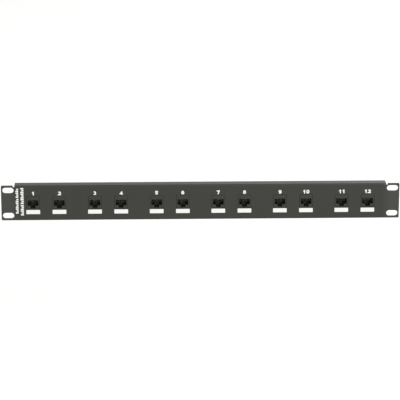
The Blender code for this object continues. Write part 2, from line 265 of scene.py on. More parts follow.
JACK_MARK_RADIUS = 0.4 * MM
TICK_TOP = -5.3 * MM  # z
TICK_LENGTHS = (0.9 * MM, 1.6 * MM)  # in turn

# Clips in the punch-down blocks, one in each gap between two teeth.
CLIP_COUNT = 16
CLIP_PITCH = 3.81 * MM
CLIP_ROOT = 22.4 * MM  # y, just inside the block's base
CLIP_TIP = 29.8 * MM
CLIP_HALF_WIDTH = 0.82 * MM
CLIP_HALF_SLOT = 0.14 * MM  # of the slot that grips a wire
CLIP_BRIDGE = 1.2 * MM  # from the root to the slot's bottom
CLIP_MOUTH = 1.1 * MM  # depth of the funnel that leads a wire into the slot
CLIP_SHOULDER = 0.4 * MM  # length of a tip's chamfer
CLIP_TIP_EDGES = (0.15 * MM, 0.3 * MM)  # x of a tip's flat end, in from the clip's side
CLIP_THICKNESS = 0.5 * MM
CLIP_ROWS = (-1.9 * MM, 1.9 * MM)  # z of a clip's two blades

# Screws.
SCREW_PROFILE = (  # y from the seat, radius
    (-8.8 * MM, 1.0 * MM),
    (-7.8 * MM, 1.42 * MM),
    (0.0, 1.42 * MM),
    (0.0, 2.7 * MM),
    (0.15 * MM, 2.8 * MM),
    (0.8 * MM, 2.78 * MM),
    (1.25 * MM, 2.6 * MM),
    (1.6 * MM, 2.2 * MM),
    (1.8 * MM, 1.6 * MM),
    (1.88 * MM, 0.8 * MM),
)
SCREW_HEAD_HEIGHT = SCREW_PROFILE[-1][0]
SCREW_SIDES = 40
RECESS_LENGTH = 3.3 * MM
RECESS_WIDTH = 0.75 * MM
RECESS_RADIUS = 0.3 * RECESS_WIDTH
RECESS_DEPTH = 1.1 * MM


# ---------------------------------------------------------------- helpers for meshes


def new_object(name, mesh, location=(0, 0, 0)):
    obj = bpy.data.objects.new(name, mesh)
    bpy.context.scene.collection.objects.link(obj)
    obj.location = location
    return obj


def mesh_from(bm, name, materials=()):
    bmesh.ops.recalc_face_normals(bm, faces=bm.faces)
    mesh = bpy.data.meshes.new(name)
    bm.to_mesh(mesh)
    bm.free()
    for material in materials:
        mesh.materials.append(material)
    return mesh


def smooth(mesh, crease):
    mesh.shade_smooth()
    mesh.set_sharp_from_angle(angle=crease)
    return mesh


def arc(centre, radius, start_deg, end_deg, steps):
    """Points in a plane along an arc, both ends included."""
    angles = [math.radians(start_deg + (end_deg - start_deg) * i / steps) for i in range(steps + 1)]
    return [(centre[0] + radius * math.cos(a), centre[1] + radius * math.sin(a)) for a in angles]


def circle(centre, radius, sides):
    return arc(centre, radius, 0, 360, sides)[:-1]


def ellipse(centre, radii, start_deg, end_deg, steps=14):
    """Points along an elliptical arc, both ends included."""
    turns = arc((0, 0), 1, start_deg, end_deg, steps)
    return [(centre[0] + radii[0] * x, centre[1] + radii[1] * z) for x, z in turns]


def rounded_rectangle(centre, width, height, radius, steps=4):
    cx, cz = centre
    right, top = cx + width / 2 - radius, cz + height / 2 - radius
    left, bottom = cx - width / 2 + radius, cz - height / 2 + radius
    corners = ((right, bottom, -90), (right, top, 0), (left, top, 90), (left, bottom, 180))
    return [p for x, z, start in corners for p in arc((x, z), radius, start, start + 90, steps)]


def add_rings(bm, rings):
    """Adds a solid through rings of points, all with the same count, and closes both ends."""
    rows = [[bm.verts.new(point) for point in ring] for ring in rings]
    for a, b in zip(rows, rows[1:]):
        for i in range(len(a)):
            j = (i + 1) % len(a)
            bm.faces.new((a[i], a[j], b[j], b[i]))
    bm.faces.new(rows[0])
    bm.faces.new(rows[-1])


def add_prism(bm, outline, front, rear):
    """Adds an outline in the XZ plane as a solid from Y front to Y rear."""
    add_rings(bm, [[(x, y, z) for x, z in outline] for y in (front, rear)])


def add_side_prism(bm, outline, left, right):
    """Adds an outline in the YZ plane as a solid from X left to X right."""
    add_rings(bm, [[(x, y, z) for y, z in outline] for x in (left, right)])


def add_plan_prism(bm, outline, bottom, top):
    """Adds an outline in the XY plane as a solid from Z bottom to Z top."""
    add_rings(bm, [[(x, y, z) for x, y in outline] for z in (bottom, top)])


def add_turned(bm, centre, profile, sides):
    """Adds a turned shape about a line along Y. The profile is (y, radius) pairs."""
    add_rings(bm, [[(x, y, z) for x, z in circle(centre, radius, sides)] for y, radius in profile])


def add_stroke(bm, path, weight, front, rear, closed=False):
    """Adds a flat line along a path of (x, z) points, weight wide, from Y front to Y rear."""
    points = [Vector(p) for p in path]
    last = len(points) - 1
    sides = ([], [])
    for i, point in enumerate(points):
        before = points[i - 1] if closed or i > 0 else point * 2 - points[i + 1]
        after = points[(i + 1) % len(points)] if closed or i < last else point * 2 - points[i - 1]
        into, out = (point - before).normalized(), (after - point).normalized()
        along = (into + out).normalized()
        across = Vector((-along.y, along.x))
        reach = weight / 2 / max(along.dot(into), MITRE_LIMIT)
        sides[0].append(point + across * reach)
        sides[1].append(point - across * reach)
    corners = [(y, side) for y, side in ((front, 0), (front, 1), (rear, 1), (rear, 0))]
    rows = [[bm.verts.new((p.x, y, p.y)) for p in sides[side]] for y, side in corners]
    for i in range(len(points) if closed else last):
        j = (i + 1) % len(points)
        for a, b in zip(rows, rows[1:] + rows[:1]):
            bm.faces.new((a[i], a[j], b[j], b[i]))
    if not closed:
        bm.faces.new([row[0] for row in rows])
        bm.faces.new([row[-1] for row in rows])


def add_wire(bm, path, x):
    """Adds a round wire along a path of (y, z) points in the plane at x, with rounded ends."""
    sections = []
    for i, point in enumerate(path):
        along = (path[min(i + 1, len(path) - 1)] - path[max(i - 1, 0)]).normalized()
        sections.append((point, Vector((-along.y, along.x)), WIRE_RADIUS))
    first, last = (path[1] - path[0]).normalized(), (path[-1] - path[-2]).normalized()
    for turn in WIRE_END_TURNS:
        reach, radius = WIRE_RADIUS * math.sin(turn), WIRE_RADIUS * math.cos(turn)
        sections.insert(0, (path[0] - first * reach, sections[0][1], radius))
        sections.append((path[-1] + last * reach, sections[-1][1], radius))
    rings = []
    for point, across, radius in sections:
        spokes = [(point + across * share, side) for share, side in circle((0, 0), radius, WIRE_SIDES)]
        rings.append([(x + side, place.x, place.y) for place, side in spokes])
    add_rings(bm, rings)


def rounded_copy(source, name, rounding, materials):
    """A copy of a mesh with rounded edges, whose faces take the last of the materials."""
    bm = bmesh.new()
    bm.from_mesh(source)
    bmesh.ops.remove_doubles(bm, verts=bm.verts, dist=TOUCH)
    sharp = [
        edge for edge in bm.edges if len(edge.link_faces) == 2 and edge.calc_face_angle(0) > SHARP_ANGLE
    ]
    for face in bm.faces:
        face.material_index = 0
    bmesh.ops.bevel(
        bm,
        geom=sharp,
        offset=rounding,
        offset_type="OFFSET",
        segments=2,
        profile=0.5,
        affect="EDGES",
        clamp_overlap=True,
        material=len(materials) - 1,
    )
    return mesh_from(bm, name, materials)


def weighted(obj):
    """Smooth shading that keeps large faces flat beside rounded edges."""
    obj.data.shade_smooth()
    modifier = obj.modifiers.new("weighted_normals", "WEIGHTED_NORMAL")
    modifier.keep_sharp = True
    modifier.weight = 100
    return obj


def combined(mesh, others, operation):
    """mesh after a Boolean with each of the others in turn. It uses up all of them."""
    base = new_object("base", mesh)
    tools = [new_object("tool", other) for other in others]
    for tool in tools:
        modifier = base.modifiers.new(operation, "BOOLEAN")
        modifier.operation = operation
        modifier.solver = "EXACT"
        modifier.object = tool
    graph = bpy.context.evaluated_depsgraph_get()
    result = bpy.data.meshes.new_from_object(base.evaluated_get(graph))
    for obj in [base, *tools]:
        used = obj.data
        bpy.data.objects.remove(obj, do_unlink=True)
        bpy.data.meshes.remove(used)
    return result


def recoloured(mesh, material):
    mesh.materials.clear()
    mesh.materials.append(material)
    return mesh


def finish_piece(obj, body, slot_name, *nodes):
    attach(obj, body)
    if nodes:
        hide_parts(*nodes)


# ---------------------------------------------------------------- helpers for materials


class Shader:
    """A node material with a Principled shader, built by short calls."""

    def __init__(self, name):
        self.material = bpy.data.materials.new(name)
        self.material.use_nodes = True
        self.tree = self.material.node_tree
        self.principled = self.tree.nodes["Principled BSDF"]
        self.coordinates = self.tree.nodes.new("ShaderNodeTexCoord").outputs["Object"]

    def set(self, key, value):
        self.principled.inputs[key].default_value = value

    def link(self, output, key):
        self.tree.links.new(output, self.principled.inputs[key])

    def noise(self, size, detail, stretch=(1, 1, 1)):
        """Noise from 0 to 1 whose features are about as large as size."""
        mapping = self.tree.nodes.new("ShaderNodeMapping")
        mapping.inputs["Scale"].default_value = stretch
        self.tree.links.new(self.coordinates, mapping.inputs["Vector"])
        noise = self.tree.nodes.new("ShaderNodeTexNoise")
        noise.inputs["Scale"].default_value = 1 / size
        noise.inputs["Detail"].default_value = detail
        self.tree.links.new(mapping.outputs["Vector"], noise.inputs["Vector"])
        return noise.outputs["Fac"]

    def spread(self, value, to_low, to_high, low=NOISE_LOW, high=NOISE_HIGH):
        """Maps value from low..high to to_low..to_high, clamped."""
        node = self.tree.nodes.new("ShaderNodeMapRange")
        ends = {"From Min": low, "From Max": high, "To Min": to_low, "To Max": to_high}
        for key, number in ends.items():
            node.inputs[key].default_value = number
        self.tree.links.new(value, node.inputs["Value"])
        return node.outputs["Result"]

    def math(self, operation, first, second=0.0):
        """The result of an operation on an output and a second output or number."""
        node = self.tree.nodes.new("ShaderNodeMath")
        node.operation = operation
        self.tree.links.new(first, node.inputs[0])
        if isinstance(second, (int, float)):
            node.inputs[1].default_value = second
        else:
            self.tree.links.new(second, node.inputs[1])
        return node.outputs["Value"]

    def mix(self, factor, first, second):
        """A colour between first and second, each a colour or an output."""
        node = self.tree.nodes.new("ShaderNodeMix")
        node.data_type = "RGBA"
        self.tree.links.new(factor, node.inputs["Factor"])
        sockets = [s for s in node.inputs if s.type == "RGBA"]
        for socket, value in zip(sockets, (first, second)):
            if isinstance(value, tuple):
                socket.default_value = (*value, 1.0)
            else:
                self.tree.links.new(value, socket)
        return next(s for s in node.outputs if s.type == "RGBA")

    def bump(self, height, depth, strength):
        node = self.tree.nodes.new("ShaderNodeBump")
        node.inputs["Distance"].default_value = depth
        node.inputs["Strength"].default_value = strength
        self.tree.links.new(height, node.inputs["Height"])
        self.link(node.outputs["Normal"], "Normal")

    def axis(self, index):
        split = self.tree.nodes.new("ShaderNodeSeparateXYZ")
        self.tree.links.new(self.coordinates, split.inputs["Vector"])
        return split.outputs[index]


def lifted(colour, lift):
    return tuple(channel + lift for channel in colour)


def powder_coat(name, lift=0.0):
    """Fine-textured satin black powder coat. lift lightens it, a painted highlight for the rounded edges.
    """
    shader = Shader(name)
    dark, light = [lifted(tone, lift) for tone in COAT]
    cloud = shader.noise(size=70 * MM, detail=4)
    speck = shader.noise(size=0.35 * MM, detail=2)
    tone = shader.math("ADD", shader.math("MULTIPLY", cloud, 0.6), shader.math("MULTIPLY", speck, 0.4))
    fresh = shader.mix(shader.spread(tone, 0, 1), dark, light)
    from_middle = shader.math("ABSOLUTE", shader.axis(0))
    ear = shader.spread(from_middle, 0, 1, low=EAR_START, high=EAR_START + EAR_BLEND)
    # painted sheen on the ears, broken up by the speck noise
    ear_sheen = shader.math("MULTIPLY", ear, shader.spread(speck, 0.8, 1))
    shader.link(shader.mix(ear_sheen, fresh, lifted(light, EAR_SHEEN)), "Base Color")
    smoothest, roughest = lifted(COAT_ROUGHNESS, -2 * lift)
    shader.link(shader.spread(speck, smoothest, roughest), "Roughness")
    peel = shader.noise(size=0.9 * MM, detail=1)
    relief = shader.math("ADD", peel, shader.math("MULTIPLY", speck, 0.5))
    shader.bump(relief, depth=0.012 * MM, strength=0.6)
    return shader.material


def moulded_plastic(name, tones, roughness):
    """Moulded plastic with faint flow marks and a fine sparked surface."""
    shader = Shader(name)
    flow = shader.noise(size=9 * MM, detail=3, stretch=(1, 1, 0.4))
    grains = shader.noise(size=0.25 * MM, detail=2)
    shader.link(shader.mix(shader.spread(flow, 0, 1), *tones), "Base Color")
    shader.link(shader.spread(grains, *lifted(PLASTIC_VARIES, roughness)), "Roughness")
    shader.bump(grains, depth=0.006 * MM, strength=0.7)
    return shader.material


def plated_metal(name, tones, roughness):
    """Plated metal with slight stains and a fine grain."""
    shader = Shader(name)
    stain = shader.noise(size=2.5 * MM, detail=4)
    grain = shader.noise(size=0.12 * MM, detail=2)
    shader.set("Metallic", 1.0)
    shader.link(shader.mix(shader.spread(stain, 0, 1, low=0.35, high=0.65), *tones), "Base Color")
    shader.link(shader.spread(grain, *lifted(METAL_VARIES, roughness)), "Roughness")
    shader.bump(grain, depth=0.003 * MM, strength=0.6)
    return shader.material


def printed_ink(name, colour):
    """Screen-printed ink: it takes the surface's texture and thins a little in places."""
    shader = Shader(name)
    thin = shader.noise(size=0.5 * MM, detail=3)
    faded = tuple(channel * INK_FADE for channel in colour)
    shader.link(shader.mix(shader.spread(thin, 0, 1, low=0.25, high=0.6), faded, colour), "Base Color")
    shader.link(shader.spread(thin, *INK_ROUGHNESS), "Roughness")
    shader.bump(shader.noise(size=0.9 * MM, detail=1), depth=0.006 * MM, strength=0.5)
    return shader.material


def solder_mask(name, tones):
    """Glass-fibre laminate under green mask: a faint weave shows through."""
    shader = Shader(name)
    thread = 2 * math.pi / (0.55 * MM)
    across, up = [
        shader.math("SINE", shader.math("MULTIPLY", shader.axis(index), thread)) for index in (0, 2)
    ]
    weave = shader.math("MULTIPLY", across, up)
    cloud = shader.noise(size=14 * MM, detail=3)
    tone = shader.math("ADD", shader.math("MULTIPLY", weave, 0.12), cloud)
    shader.link(shader.mix(shader.spread(tone, 0, 1, high=0.75), *tones), "Base Color")
    shader.link(shader.spread(cloud, *MASK_ROUGHNESS), "Roughness")
    shader.bump(weave, depth=0.004 * MM, strength=0.5)
    return shader.material


def wiring_film(name):
    """Film with a field for each of 16 wires: white and a colour in turn, in four pair colours."""
    shader = Shader(name)
    half = CLIP_COUNT / 2 * CLIP_PITCH
    along = shader.spread(shader.axis(0), 0, 1, low=-half, high=half)
    ramp = shader.tree.nodes.new("ShaderNodeValToRGB")
    ramp.color_ramp.interpolation = "CONSTANT"
    stops = ramp.color_ramp.elements
    fields = [colour for _ in range(2) for pair in WIRE_PAIRS for colour in (WIRE_WHITE, pair)]
    for i, colour in enumerate(fields):
        stop = stops[0] if i == 0 else stops.new(i / len(fields))
        stop.color = (*colour, 1.0)
    last = stops[len(stops) - 1]
    last.color = (*fields[-1], 1.0)
    shader.tree.links.new(along, ramp.inputs["Fac"])
    worn = shader.noise(size=3 * MM, detail=4)
    faded = shader.spread(worn, 0, 0.25, low=0.6, high=0.8)
    shader.link(shader.mix(faded, ramp.outputs["Color"], WIRE_WHITE), "Base Color")
    shader.link(shader.spread(worn, *FILM_ROUGHNESS), "Roughness")
    shader.bump(shader.noise(size=0.6 * MM, detail=2), depth=0.003 * MM, strength=0.4)
    return shader.material


def studio_floor(name):
    shader = Shader(name)
    shader.link(shader.mix(shader.noise(size=0.8, detail=2), *FLOOR_TONES), "Base Color")
    shader.set("Roughness", FLOOR_ROUGHNESS)
    return shader.material


def make_materials():
    return {
        "coat": powder_coat("powder_coat"),
        # the coat with a painted highlight, for the rounded edges
        "coat_edge_highlight": powder_coat("powder_coat_painted_highlight", lift=COAT_EDGE_HIGHLIGHT),
        "zinc": plated_metal("zinc_plating", ZINC, roughness=0.34),
        "gold": plated_metal("gold_plating", GOLD, roughness=0.42),
        "tin": plated_metal("tin_plating", TIN, roughness=0.3),
        "ink": printed_ink("white_ink", WHITE_INK),
        "board_ink": printed_ink("board_ink", BOARD_INK),
        "black": moulded_plastic("black_plastic", BLACK, roughness=0.42),
        # the black plastic with a painted highlight, for the rounded edges
        "black_edge_highlight": moulded_plastic("black_plastic_painted_highlight", BLACK_EDGE_HIGHLIGHT, roughness=0.40),
        "grey": moulded_plastic("grey_plastic", GREY, roughness=0.45),
        "ivory": moulded_plastic("ivory_plastic", IVORY, roughness=0.4),
        "laminate": moulded_plastic("laminate_edge", LAMINATE, roughness=0.6),
        "mask": solder_mask("solder_mask", SOLDER_MASK),
        "copper": solder_mask("masked_copper", MASKED_COPPER),
        "film": wiring_film("wiring_film"),
    }


# ---------------------------------------------------------------- places from the frame


def node_mesh(node):
    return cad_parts[node].data


def middle_x(node):
    low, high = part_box(node)
    return (low.x + high.x) / 2


def port_x(port):
    return middle_x(f"jack_housing_{port:02d}")


def module_x(module):
    return middle_x(f"circuit_board_{module}")


panel_low, panel_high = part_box("front_panel")
FRONT = panel_low.y
SHEET_REAR = 0.0  # the frame's origin lies in the sheet's rear face
INK_BACK = FRONT + INK_THICKNESS
INK_ROOT = INK_BACK + INK_THICKNESS / 2  # the ink starts a little below the coat's face
BOARD_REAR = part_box("circuit_board_1")[1].y


# ---------------------------------------------------------------- front panel and its printing


def panel_cutter():
    """What the panel's CAD copy loses: its slots' faceted edges, and its faceted posts."""
    length, height = SLOT_LENGTH + 2 * SLOT_SHAVE, SLOT_HEIGHT + 2 * SLOT_SHAVE
    radius = height / 2 - SLOT_SHAVE  # just under half, so that no two points fall together
    bm = bmesh.new()
    for x in (-SLOT_X, SLOT_X):
        for z in (-SLOT_Z, SLOT_Z):
            slot = rounded_rectangle((x, z), length, height, radius, SLOT_STEPS)
            add_prism(bm, slot, FRONT - OVERCUT, SHEET_REAR + OVERCUT)
    cleared = rounded_rectangle((0, 0), CLEARED_WIDTH, CLEARED_HEIGHT, CLEARED_RADIUS, 1)
    add_prism(bm, cleared, SHEET_REAR + CLEARED_FROM, panel_high.y + OVERCUT)
    return mesh_from(bm, "panel_cutter")


def make_panel(coat, coat_edge_highlight):
    """The folded sheet with smooth slots, its front set back by the ink's thickness."""
    sheet = combined(node_mesh("front_panel").copy(), [panel_cutter()], "DIFFERENCE")
    # its rounded edges take the coat with the painted highlight
    mesh = rounded_copy(sheet, "front_panel_coated", PANEL_ROUNDING, (coat, coat_edge_highlight))
    for vertex in mesh.vertices:
        vertex.co.y = max(vertex.co.y, INK_BACK)
    panel = weighted(new_object("front_panel_coated", mesh))
    finish_piece(panel, PANEL, "panel_paint", "front_panel")


def make_posts(zinc):
    """Turned posts pressed into the sheet, one behind each board screw, each with a round foot."""
    board_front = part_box("circuit_board_1")[0].y
    profile = [(SHEET_REAR + y, radius) for y, radius in POST_FOOT]
    profile += [(board_front + y, radius) for y, radius in POST_END]
    bm = bmesh.new()
    for number in range(1, PORT_COUNT + 1):
        low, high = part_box(f"board_screw_{number:02d}")
        add_turned(bm, ((low.x + high.x) / 2, (low.z + high.z) / 2), profile, POST_SIDES)
    posts = new_object("panel_posts", smooth(mesh_from(bm, "panel_posts", (zinc,)), TURNED_CREASE))
    finish_piece(posts, PANEL, "screw_zinc")


def ink_piece(name, outlines, ink):
    bm = bmesh.new()
    for outline in outlines:
        add_prism(bm, outline, FRONT, INK_ROOT)
    piece = new_object(name, mesh_from(bm, name, (ink,)))
    finish_piece(piece, PANEL, "panel_paint")


def digit_strokes(digit):
    """The middle lines of a digit's strokes in a box 1 wide and 1 high, each (path, closed)."""
    if digit == "9":
        return [([(1 - x, 1 - z) for x, z in path], closed) for path, closed in digit_strokes("6")]
    low, high = -DIGIT_END_Z, 1 + DIGIT_END_Z
    left, right = -DIGIT_END_X, 1 + DIGIT_END_X
    round_top = ellipse((0.5, 0.66), (0.5, 0.34), 0, 180)
    round_bottom = ellipse((0.5, 0.34), (0.5, 0.34), 180, 360)
    strokes = {
        "0": [(round_top + round_bottom, True)],
        "1": [([(0.62, low), (0.62, high)], False), ([(0.66, 0.98), (-0.02, 0.66)], False)],
        "2": [(ellipse((0.5, 0.7), (0.5, 0.3), 165, -35) + [(0.0, 0.0), (right, 0.0)], False)],
        "3": [
            (ellipse((0.46, 0.76), (0.46, 0.24), 155, -90), False),
            (ellipse((0.48, 0.26), (0.52, 0.26), 90, -155), False),
        ],
        "4": [
            ([(0.78, low), (0.78, 1.1)], False),
            ([(0.78, 1.0), (-0.1, 0.22), (1.3, 0.22)], False),
        ],
        "5": [
            ([(right, 1.0), (0.12, 1.0), (0.04, 0.5)], False),
            ([(0.0, 0.58)] + ellipse((0.44, 0.3), (0.56, 0.3), 80, -150), False),
        ],
        "6": [
            (ellipse((0.5, 0.31), (0.5, 0.31), 0, 360)[:-1], True),
            ([(0.0, 0.31)] + ellipse((0.56, 0.55), (0.56, 0.45), 180, 50), False),
        ],
        "7": [([(left, 1.0), (1.0, 1.0), (0.34, low)], False)],
        "8": [
            (ellipse((0.5, 0.76), (0.43, 0.24), 0, 360)[:-1], True),
            (ellipse((0.5, 0.27), (0.5, 0.27), 0, 360)[:-1], True),
        ],
    }
    return strokes[digit]


def numeral_mesh(text, ink):
    """The digits of a number side by side, centred at x 0 and z 0."""
    width, height = DIGIT_WIDTH - DIGIT_WEIGHT, DIGIT_HEIGHT - DIGIT_WEIGHT
    parts = []
    for place, digit in enumerate(text):
        weight = DIGIT_WEIGHT * LIGHTER_DIGITS.get(digit, 1.0)
        for path, closed in digit_strokes(digit):
            scaled = [(place * DIGIT_PITCH + x * width, z * height) for x, z in path]
            bm = bmesh.new()
            add_stroke(bm, scaled, weight, FRONT, INK_ROOT, closed)
            parts.append(mesh_from(bm, "stroke"))
    mesh = combined(parts[0], parts[1:], "UNION")
    xs = [vertex.co.x for vertex in mesh.vertices]
    mesh.transform(Matrix.Translation((-(min(xs) + max(xs)) / 2, 0, -height / 2)))
    return recoloured(mesh, ink)


def make_numerals(ink):
    for port in range(1, PORT_COUNT + 1):
        place = (port_x(port), 0, NUMERAL_Z)
        numeral = new_object(f"numeral_{port:02d}", numeral_mesh(str(port), ink), place)
        finish_piece(numeral, PANEL, "panel_paint")


def make_labels(ink):
    outlines = [
        rounded_rectangle((port_x(port), LABEL_Z), LABEL_WIDTH, LABEL_HEIGHT, LABEL_RADIUS)
        for port in range(1, PORT_COUNT + 1)
    ]
    ink_piece("label_fields", outlines, ink)


def make_side_print(ink):
    """Two turned columns of plain blocks in words, where lettering would stand."""
    outlines = []
    for x, width, low, high, words in PRINT_COLUMNS:
        gaps = (len(words) - 1) * PRINT_WORD_GAP
        pitch = (high - low) / (sum(words) + gaps)
        z = low + pitch / 2
        for count in words:
            for place in range(count):
                inset = width * PRINT_INSET if place % PRINT_CYCLE == 1 else 0.0
                centre = (x + inset / 2, z)
                size = (width - inset, pitch * PRINT_FILL)
                outlines.append(rounded_rectangle(centre, *size, PRINT_RADIUS, 2))
                z += pitch
            z += pitch * PRINT_WORD_GAP
    ink_piece("side_print", outlines, ink)


# ---------------------------------------------------------------- jacks


def wire_xs():
    return [(i - (WIRE_COUNT - 1) / 2) * WIRE_PITCH for i in range(WIRE_COUNT)]


def arm_path():
    """The moving part of a wire, from the hinge back and down to its tip, as (y, z)."""
    slope = Vector((math.cos(WIRE_SLOPE), -math.sin(WIRE_SLOPE)))
    across = Vector((-slope.y, slope.x))
    path = []
    for i in range(WIRE_ARM_STEPS + 1):
        share = i / WIRE_ARM_STEPS
        crown = WIRE_CROWN * math.sin(math.pi * share)
        path.append(WIRE_HINGE + slope * (WIRE_LENGTH * share) + across * crown)
    return path


def tail_path():
    """The fixed part of a wire: from the board along the roof, then round the front bend."""
    turn = math.pi - WIRE_SLOPE
    hinge_y, hinge_z = WIRE_HINGE
    radius = (WIRE_TAIL_Z - hinge_z) / (1 - math.cos(turn))
    centre = Vector((hinge_y + radius * math.sin(turn), WIRE_TAIL_Z - radius))
    path = [Vector((y, WIRE_TAIL_Z)) for y in (WIRE_TAIL_END, centre.x + WIRE_TAIL_LEAD)]
    for i in range(WIRE_BEND_STEPS + 1):
        angle = turn * i / WIRE_BEND_STEPS
        path.append(centre + radius * Vector((-math.sin(angle), math.cos(angle))))
    return path


def wires_mesh(name, path, gold):
    bm = bmesh.new()
    for x in wire_xs():
        add_wire(bm, path, x)
    return smooth(mesh_from(bm, name, (gold,)), WIRE_CREASE)


def comb_mesh(plastic):
    bm = bmesh.new()
    for i in range(WIRE_COUNT + 1):
        x = (i - WIRE_COUNT / 2) * WIRE_PITCH
        add_side_prism(bm, FIN_OUTLINE, x - FIN_THICKNESS / 2, x + FIN_THICKNESS / 2)
    wall = rounded_rectangle((0, COMB_Z), COMB_WIDTH, COMB_HEIGHT, COMB_RADIUS, 2)
    add_prism(bm, wall, COMB_FRONT, COMB_BACK)
    return mesh_from(bm, "contact_comb", (plastic,))


def nose_outline():
    """A housing's outline at its front face, from the port's middle."""
    face_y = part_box("jack_housing_01")[0].y
    points = [v.co for v in node_mesh("jack_housing_01").vertices if v.co.y < face_y + TOUCH]
    xs, zs = [p.x - port_x(1) for p in points], [p.z for p in points]
    centre = ((min(xs) + max(xs)) / 2, (min(zs) + max(zs)) / 2)
    return rounded_rectangle(centre, max(xs) - min(xs), max(zs) - min(zs), RIM_RISE / 2, 2)


def add_ribs(bm, low, high):
    for x in RIB_XS:
        for z in (low.z, high.z):
            rib = rounded_rectangle((x, z), RIB_WIDTH, 2 * RIB_RISE, RIB_RADIUS, 3)
            add_prism(bm, rib, RIB_START, high.y - RIB_REAR_GAP)


def add_snap_wedges(bm, low, high):
    middle_z, half_width = (low.z + high.z) / 2, (high.x - low.x) / 2
    root, top = half_width - SNAP_ROOT, half_width + SNAP_RISE
    for side in (-1, 1):
        for z in (middle_z - SNAP_SPREAD, middle_z + SNAP_SPREAD):
            wedge = [
                (side * root, SNAP_START),
                (side * top, SNAP_START + SNAP_SLOPE),
                (side * top, SNAP_END - SNAP_SLOPE),
                (side * root, SNAP_END),
            ]
            add_plan_prism(bm, wedge, z - SNAP_HEIGHT / 2, z + SNAP_HEIGHT / 2)


def jack_body_mesh(plastic, plastic_highlight):
    """The CAD housing with rounded edges, a rim round its nose, and ribs and wedges on its body."""
    # the rounded edges take the lighter plastic, a painted highlight
    materials = (plastic, plastic_highlight)
    housing = rounded_copy(node_mesh("jack_housing_01"), "jack_housing", HOUSING_ROUNDING, materials)
    housing.transform(Matrix.Translation((-port_x(1), 0, 0)))
    low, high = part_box("jack_housing_01")
    bm = bmesh.new()
    bm.from_mesh(housing)
    bpy.data.meshes.remove(housing)
    add_stroke(bm, nose_outline(), 2 * RIM_RISE, FRONT + RIM_SETBACK, RIM_END, closed=True)
    add_ribs(bm, low, high)
    add_snap_wedges(bm, low, high)
    return mesh_from(bm, "jack_body", materials)


def make_jacks(materials):
    housing = jack_body_mesh(materials["black"], materials["black_edge_highlight"])
    tails = wires_mesh("contact_tails", tail_path(), materials["gold"])
    arms = wires_mesh("contact_wires", arm_path(), materials["gold"])
    comb = comb_mesh(materials["grey"])
    for port in range(1, PORT_COUNT + 1):
        place = (port_x(port), 0, 0)
        shell = weighted(new_object(f"jack_body_{port:02d}", housing, place))
        finish_piece(shell, PANEL, "jack_plastic", f"jack_housing_{port:02d}")
        finish_piece(new_object(f"contact_comb_{port:02d}", comb, place), PANEL, "jack_plastic")
        finish_piece(new_object(f"contact_tails_{port:02d}", tails, place), PANEL, "contact_gold")
        moving = new_object(f"contact_wires_{port:02d}", arms, place)
        finish_piece(moving, f"springs_{port:02d}", "contact_gold", f"contact_springs_{port:02d}")


# ---------------------------------------------------------------- boards, blocks and screws


def jack_offsets():
    """x of the two jacks from their module's middle."""
    return [port_x(port) - module_x(1) for port in (1, 2)]


def jack_pins(jack_x):
    """(x, z) of a jack's eight solder joints, in two staggered rows."""
    return [(jack_x + x, PIN_ROWS[i % 2]) for i, x in enumerate(wire_xs())]


def pin_tracks():
    """Each jack pin's track, as (x, z) points from the pin round a corner to its via."""
    half = WIRE_COUNT // 2
    tracks = []
    for jack_x in jack_offsets():
        pins = jack_pins(jack_x)
        for side, order in ((-1, pins), (1, pins[::-1])):
            for place, (x, z) in enumerate(order[:half]):
                lane = LANE_LOW + place * LANE_PITCH
                via_x = jack_x + side * (VIA_NEAREST + (half - 1 - place) * VIA_PITCH)
                corner = [(x, lane - TRACK_CORNER), (x + side * TRACK_CORNER, lane)]
                tracks.append([(x, z), *corner, (via_x, lane)])
    return tracks


def board_mesh(mask, laminate):
    board = rounded_copy(node_mesh("circuit_board_1"), "circuit_board", BOARD_ROUNDING, (mask, laminate))
    for face in board.polygons:
        if abs(face.normal.y) < 0.5:  # it looks sideways, so it is cut laminate
            face.material_index = 1
    return board


def tracks_mesh(copper):
    front, rear = BOARD_REAR - TRACK_RISE, BOARD_REAR + TRACK_RISE
    bm = bmesh.new()
    for path in pin_tracks():
        add_stroke(bm, path, TRACK_WIDTH, front, rear)
    for x in POUR_XS:
        pour = rounded_rectangle((x, POUR_Z), POUR_WIDTH, POUR_HEIGHT, POUR_RADIUS, 3)
        add_prism(bm, pour, front, rear)
    return mesh_from(bm, "board_tracks", (copper,))


def joints_mesh(tin):
    """Solder joints round the jacks' pins, and the rings of the vias."""
    joint = [(BOARD_REAR + y, radius) for y, radius in JOINT_PROFILE]
    via = [(BOARD_REAR + y, radius) for y, radius in VIA_PROFILE]
    bm = bmesh.new()
    for jack_x in jack_offsets():
        for pin in jack_pins(jack_x):
            add_turned(bm, pin, joint, JOINT_SIDES)
    for path in pin_tracks():
        add_turned(bm, path[-1], via, JOINT_SIDES)
    return smooth(mesh_from(bm, "solder_joints", (tin,)), WIRE_CREASE)


def clip_xs():
    return [(i - (CLIP_COUNT - 1) / 2) * CLIP_PITCH for i in range(CLIP_COUNT)]


def marks_mesh(ink):
    """White lines on the board: each jack's outline, and a tick under each clip."""
    front, rear = BOARD_REAR - TRACK_RISE, BOARD_REAR + MARK_RISE
    size = (JACK_MARK_WIDTH, JACK_MARK_HEIGHT)
    bm = bmesh.new()
    for jack_x in jack_offsets():
        outline = rounded_rectangle((jack_x, JACK_MARK_Z), *size, JACK_MARK_RADIUS, 3)
        add_stroke(bm, outline, MARK_WIDTH, front, rear, closed=True)
    for i, x in enumerate(clip_xs()):
        tick = [(x, TICK_TOP), (x, TICK_TOP - TICK_LENGTHS[i % 2])]
        add_stroke(bm, tick, MARK_WIDTH, front, rear)
    return mesh_from(bm, "board_marks", (ink,))


